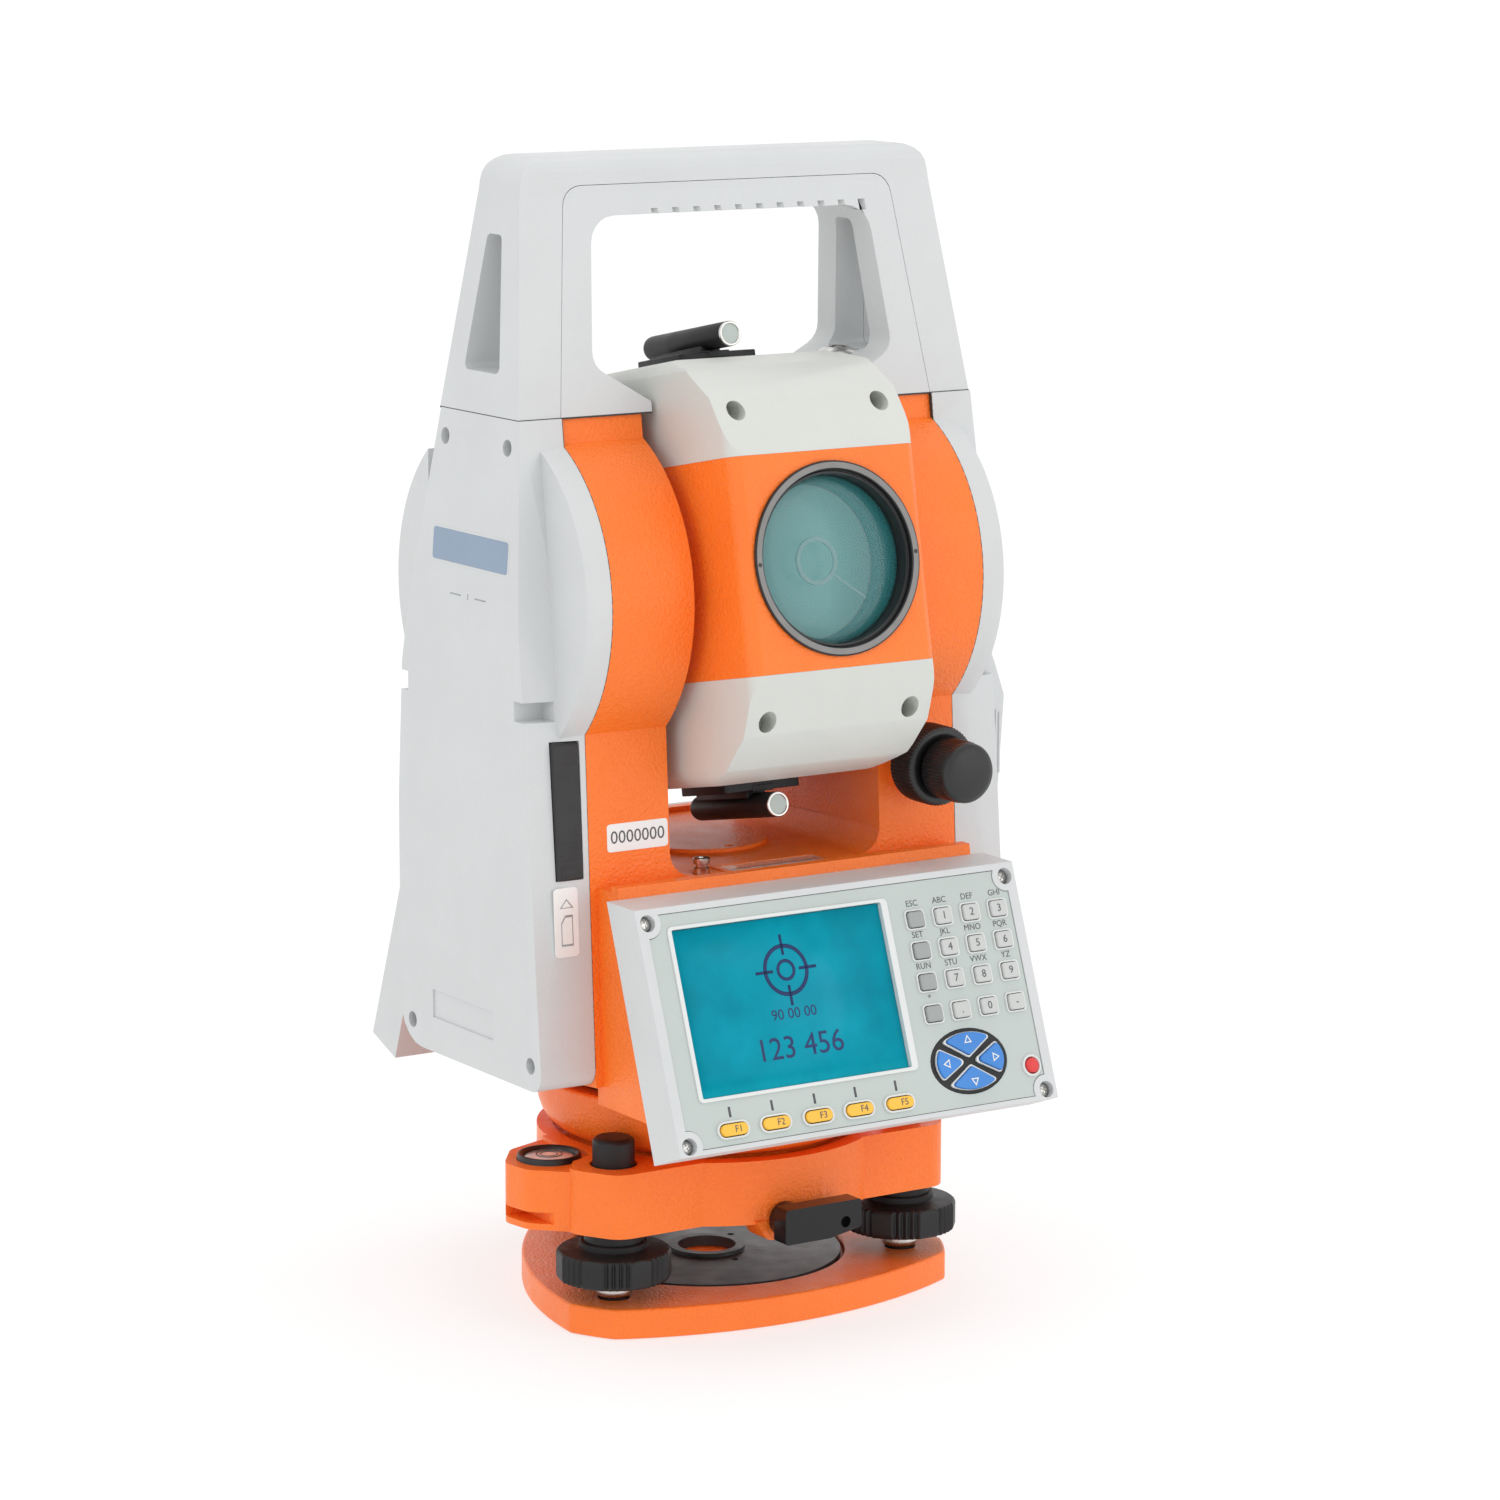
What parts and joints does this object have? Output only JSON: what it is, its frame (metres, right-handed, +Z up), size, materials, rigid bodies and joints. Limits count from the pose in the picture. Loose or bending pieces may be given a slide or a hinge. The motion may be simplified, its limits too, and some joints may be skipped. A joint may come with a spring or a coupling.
{
  "type": "surveying total station",
  "caption": "Surveying total station: tribrach with foot screws, turning alidade with two keypad consoles, transit telescope between standards and a carrying handle.",
  "frame": {"origin": "on the vertical axis at the underside of the base plate", "axes": "+Z up along the vertical axis, -Y towards the objective side, +X to the right seen from that side"},
  "size_m": [0.1825, 0.17, 0.323],
  "materials": {
    "orange_paint": "fine textured orange enamel on cast aluminium",
    "grey_shell": "light grey moulded casing",
    "green_grey_shell": "light grey moulded casing with a green cast",
    "grey_plate": "keypad face plate",
    "black_plastic": "black moulded plastic",
    "black_metal": "black anodised aluminium",
    "steel": "satin steel",
    "circle_glass": "clear optical glass",
    "level_glass": "level window over its vial",
    "coated_glass": "coated objective glass",
    "circuit_board": "solder-masked board",
    "display": "backlit liquid crystal display",
    "rubber": "soft black rubber",
    "key_yellow": "yellow rubber key",
    "key_blue": "blue rubber key",
    "key_red": "red button",
    "key_grey": "grey rubber key"
  },
  "bodies": {
    "base": {"base_plate": "orange_paint", "spring_plate": "black_metal", "tribrach_body": "orange_paint", "screw_caps": "black_plastic", "circular_level": "black_metal", "base_drum": "orange_paint", "horizontal_circle": "circle_glass"},
    "foot_left": {"foot_screw_left": "black_plastic"},
    "foot_right": {"foot_screw_right": "black_plastic"},
    "foot_rear": {"foot_screw_rear": "black_plastic"},
    "lever": {"lock_lever": "black_plastic"},
    "locking_ring": {"lock_ring": "steel"},
    "alidade": {"alidade_frame": "orange_paint", "axis_spindle": "steel", "laser_plummet": "black_metal", "left_cover": "grey_shell", "right_cover": "grey_shell", "handle_shell": "grey_shell", "handle_insert": "grey_shell", "deck_cover": "orange_paint", "plate_level": "level_glass", "fasteners": "steel", "main_board": "circuit_board", "front_housing": "grey_shell", "front_display": "display", "front_keypad_plate": "grey_plate", "rear_housing": "grey_shell", "rear_display": "display", "rear_keypad_plate": "grey_plate"},
    "port_flap": {"port_cover": "rubber"},
    "battery_pack": {"battery": "grey_shell"},
    "v_clamp": {"v_clamp_ring": "black_metal"},
    "v_tangent": {"v_tangent_knob": "black_metal"},
    "h_clamp": {"h_clamp_ring": "black_metal"},
    "h_tangent": {"h_tangent_knob": "black_metal"},
    "telescope": {"telescope_body": "orange_paint", "telescope_covers": "green_grey_shell", "objective_ring": "black_metal", "objective_lens": "coated_glass", "sights": "black_plastic", "trunnion_shafts": "steel", "vertical_circle": "circle_glass"},
    "focus": {"focus_ring": "rubber"},
    "ocular": {"eyepiece": "black_metal"},
    "focus_lens": {"focusing_lens": "circle_glass"},
    "key_f1_cap": {"key_f1": "key_yellow"},
    "key_f2_cap": {"key_f2": "key_yellow"},
    "key_f3_cap": {"key_f3": "key_yellow"},
    "key_f4_cap": {"key_f4": "key_yellow"},
    "key_f5_cap": {"key_f5": "key_yellow"},
    "key_up_cap": {"key_up": "key_blue"},
    "key_down_cap": {"key_down": "key_blue"},
    "key_left_cap": {"key_left": "key_blue"},
    "key_right_cap": {"key_right": "key_blue"},
    "key_power_cap": {"key_power": "key_red"},
    "keypad_row_1_cap": {"keypad_row_1": "key_grey"},
    "keypad_row_2_cap": {"keypad_row_2": "key_grey"},
    "keypad_row_3_cap": {"keypad_row_3": "key_grey"},
    "keypad_row_4_cap": {"keypad_row_4": "key_grey"},
    "rear_keys_cap": {"rear_keys": "key_grey"}
  },
  "joints": [
    {"name": "foot_screw_left_turn", "type": "hinge", "parent": "base", "child": "foot_left", "pos_m": [-0.04815, -0.0278, 0.018], "axis": [0, 0, 1], "range_deg": [-1080, 1080]},
    {"name": "foot_screw_right_turn", "type": "hinge", "parent": "base", "child": "foot_right", "pos_m": [0.04815, -0.0278, 0.018], "axis": [0, 0, 1], "range_deg": [-1080, 1080]},
    {"name": "foot_screw_rear_turn", "type": "hinge", "parent": "base", "child": "foot_rear", "pos_m": [0, 0.0556, 0.018], "axis": [0, 0, 1], "range_deg": [-1080, 1080]},
    {"name": "alidade_turn", "type": "hinge", "parent": "base", "child": "alidade", "pos_m": [0, 0, 0.06], "axis": [0, 0, 1], "continuous": true},
    {"name": "lock_lever_turn", "type": "hinge", "parent": "base", "child": "lever", "pos_m": [-0.0055, -0.0552, 0.0294], "axis": [0, -1, 0], "range_deg": [0, 120]},
    {"name": "lock_ring_turn", "type": "hinge", "parent": "base", "child": "locking_ring", "pos_m": [0, 0, 0.0312], "axis": [0, 0, 1], "range_deg": [0, 40]},
    {"name": "telescope_tilt", "type": "hinge", "parent": "alidade", "child": "telescope", "pos_m": [0, 0, 0.2037], "axis": [-1, 0, 0], "continuous": true},
    {"name": "focus_turn", "type": "hinge", "parent": "telescope", "child": "focus", "pos_m": [0, 0.0589, 0.19225], "axis": [0, -0.9816, 0.1908], "range_deg": [-120, 120]},
    {"name": "eyepiece_turn", "type": "hinge", "parent": "telescope", "child": "ocular", "pos_m": [0, 0.06773, 0.19053], "axis": [0, -0.9816, 0.1908], "range_deg": [-150, 150]},
    {"name": "focus_lens_slide", "type": "slide", "parent": "telescope", "child": "focus_lens", "axis": [0, -0.9816, 0.1908], "range_m": [-0.005, 0.005]},
    {"name": "v_clamp_turn", "type": "hinge", "parent": "alidade", "child": "v_clamp", "pos_m": [0.0455, -0.046, 0.1525], "axis": [0, -1, 0], "range_deg": [0, 60]},
    {"name": "v_tangent_turn", "type": "hinge", "parent": "alidade", "child": "v_tangent", "pos_m": [0.0455, -0.058, 0.1525], "axis": [0, -1, 0], "range_deg": [-1080, 1080]},
    {"name": "h_clamp_turn", "type": "hinge", "parent": "alidade", "child": "h_clamp", "pos_m": [0.086, 0.005, 0.088], "axis": [1, 0, 0], "range_deg": [0, 60]},
    {"name": "h_tangent_turn", "type": "hinge", "parent": "alidade", "child": "h_tangent", "pos_m": [0.098, 0.005, 0.088], "axis": [1, 0, 0], "range_deg": [-1080, 1080]},
    {"name": "port_cover_turn", "type": "hinge", "parent": "alidade", "child": "port_flap", "pos_m": [-0.0665, -0.0324, 0.1659], "axis": [-1, 0, 0], "range_deg": [0, 90]},
    {"name": "battery_slide", "type": "slide", "parent": "alidade", "child": "battery_pack", "axis": [1, 0, 0], "range_m": [0, 0.035]},
    {"name": "key_f1_press", "type": "slide", "parent": "alidade", "child": "key_f1_cap", "axis": [0, 0.9373, -0.3486], "range_m": [0, 0.0008], "stiffness_N_per_m": 300},
    {"name": "key_f2_press", "type": "slide", "parent": "alidade", "child": "key_f2_cap", "axis": [0, 0.9373, -0.3486], "range_m": [0, 0.0008], "stiffness_N_per_m": 300},
    {"name": "key_f3_press", "type": "slide", "parent": "alidade", "child": "key_f3_cap", "axis": [0, 0.9373, -0.3486], "range_m": [0, 0.0008], "stiffness_N_per_m": 300},
    {"name": "key_f4_press", "type": "slide", "parent": "alidade", "child": "key_f4_cap", "axis": [0, 0.9373, -0.3486], "range_m": [0, 0.0008], "stiffness_N_per_m": 300},
    {"name": "key_f5_press", "type": "slide", "parent": "alidade", "child": "key_f5_cap", "axis": [0, 0.9373, -0.3486], "range_m": [0, 0.0008], "stiffness_N_per_m": 300},
    {"name": "key_up_press", "type": "slide", "parent": "alidade", "child": "key_up_cap", "axis": [0, 0.9373, -0.3486], "range_m": [0, 0.0008], "stiffness_N_per_m": 300},
    {"name": "key_down_press", "type": "slide", "parent": "alidade", "child": "key_down_cap", "axis": [0, 0.9373, -0.3486], "range_m": [0, 0.0008], "stiffness_N_per_m": 300},
    {"name": "key_left_press", "type": "slide", "parent": "alidade", "child": "key_left_cap", "axis": [0, 0.9373, -0.3486], "range_m": [0, 0.0008], "stiffness_N_per_m": 300},
    {"name": "key_right_press", "type": "slide", "parent": "alidade", "child": "key_right_cap", "axis": [0, 0.9373, -0.3486], "range_m": [0, 0.0008], "stiffness_N_per_m": 300},
    {"name": "key_power_press", "type": "slide", "parent": "alidade", "child": "key_power_cap", "axis": [0, 0.9373, -0.3486], "range_m": [0, 0.0008], "stiffness_N_per_m": 300},
    {"name": "keypad_row_1_press", "type": "slide", "parent": "alidade", "child": "keypad_row_1_cap", "axis": [0, 0.9373, -0.3486], "range_m": [0, 0.0008], "stiffness_N_per_m": 300},
    {"name": "keypad_row_2_press", "type": "slide", "parent": "alidade", "child": "keypad_row_2_cap", "axis": [0, 0.9373, -0.3486], "range_m": [0, 0.0008], "stiffness_N_per_m": 300},
    {"name": "keypad_row_3_press", "type": "slide", "parent": "alidade", "child": "keypad_row_3_cap", "axis": [0, 0.9373, -0.3486], "range_m": [0, 0.0008], "stiffness_N_per_m": 300},
    {"name": "keypad_row_4_press", "type": "slide", "parent": "alidade", "child": "keypad_row_4_cap", "axis": [0, 0.9373, -0.3486], "range_m": [0, 0.0008], "stiffness_N_per_m": 300},
    {"name": "rear_keys_press", "type": "slide", "parent": "alidade", "child": "rear_keys_cap", "axis": [0, -0.9373, -0.3486], "range_m": [0, 0.0008], "stiffness_N_per_m": 600}
  ],
  "couplings": [
    {"joint": "lock_ring_turn", "follows": "lock_lever_turn", "ratio": 0.3},
    {"joint": "focus_turn", "follows": "focus_lens_slide", "rad_per_m": 400}
  ]
}
